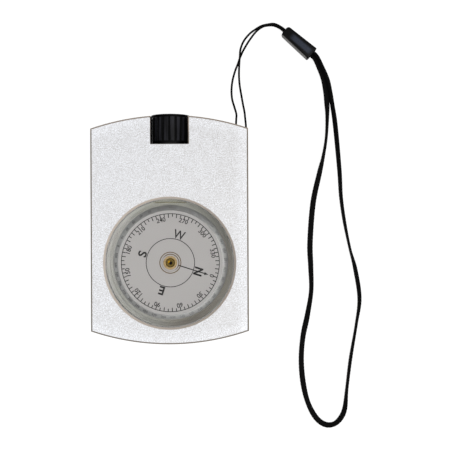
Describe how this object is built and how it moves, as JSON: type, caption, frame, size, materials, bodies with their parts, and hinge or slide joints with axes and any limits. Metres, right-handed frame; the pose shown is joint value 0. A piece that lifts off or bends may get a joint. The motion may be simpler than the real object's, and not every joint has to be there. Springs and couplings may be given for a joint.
{
  "type": "sighting compass",
  "caption": "Hand-held sighting compass: aluminium block with a liquid-filled dial capsule, a ribbed focusing eyepiece in a notch, and a wrist lanyard through one corner.",
  "frame": {"origin": "under the middle of the block, on the back face that it lies on", "axes": "+Z out of the dial window, +Y along the block to the eyepiece end, +X to the side with the lanyard"},
  "size_m": [0.091, 0.1388, 0.015],
  "materials": {
    "block_aluminium": "bead-blasted, clear anodised",
    "plate_aluminium": "satin sheet",
    "clear_acrylic": "clear moulded acrylic, slightly green",
    "base_plastic": "pale grey moulding",
    "seal_rubber": "pale grey silicone",
    "plug_plastic": "grey moulding",
    "ring_aluminium": "black anodised",
    "post_brass": "turned brass",
    "needle_steel": "hardened, polished point",
    "card_plastic": "matt white card, printed scale",
    "hub_brass": "turned brass",
    "jewel_glass": "polished stone",
    "magnet_steel": "ground magnet",
    "weight_brass": "plain",
    "barrel_plastic": "black moulded, satin ribs",
    "lens_glass": "polished lens",
    "retainer_plastic": "black",
    "o_ring_rubber": "black rubber",
    "screw_steel": "plain",
    "pin_steel": "ground pin",
    "string_cord": "black twisted nylon",
    "bead_plastic": "black, satin gloss",
    "braided_cord": "black flat braid"
  },
  "bodies": {
    "root": {"housing": "block_aluminium", "back_plate": "plate_aluminium", "capsule_cover": "clear_acrylic", "capsule_base": "base_plastic", "capsule_seal": "seal_rubber", "filler_plug": "plug_plastic", "retaining_ring": "ring_aluminium", "pivot_post": "post_brass", "pivot_needle": "needle_steel", "stop_screw": "screw_steel", "lanyard_pin": "pin_steel", "lanyard_string": "string_cord", "strap_bead": "bead_plastic", "wrist_cord": "braided_cord"},
    "card": {"compass_card": "card_plastic", "card_hub": "hub_brass", "jewel_cup": "jewel_glass", "card_magnet": "magnet_steel", "balance_weight": "weight_brass"},
    "eyepiece_carriage": {"eyepiece_seal": "o_ring_rubber"},
    "eyepiece": {"eyepiece_barrel": "barrel_plastic", "eyepiece_lens": "lens_glass", "lens_retainer": "retainer_plastic"}
  },
  "joints": [
    {"name": "card_spin", "type": "hinge", "parent": "root", "child": "card", "pos_m": [0, -0.011, 0.0075], "axis": [0, 0, 1], "continuous": true},
    {"name": "eyepiece_travel", "type": "slide", "parent": "root", "child": "eyepiece_carriage", "axis": [0, 1, 0], "range_m": [0, 0.001]},
    {"name": "eyepiece_turn", "type": "hinge", "parent": "eyepiece_carriage", "child": "eyepiece", "pos_m": [0, 0.033, 0.0075], "axis": [0, 1, 0], "range_deg": [0, 360]}
  ],
  "couplings": [
    {"joint": "eyepiece_turn", "follows": "eyepiece_travel", "rad_per_m": 6283.2}
  ]
}
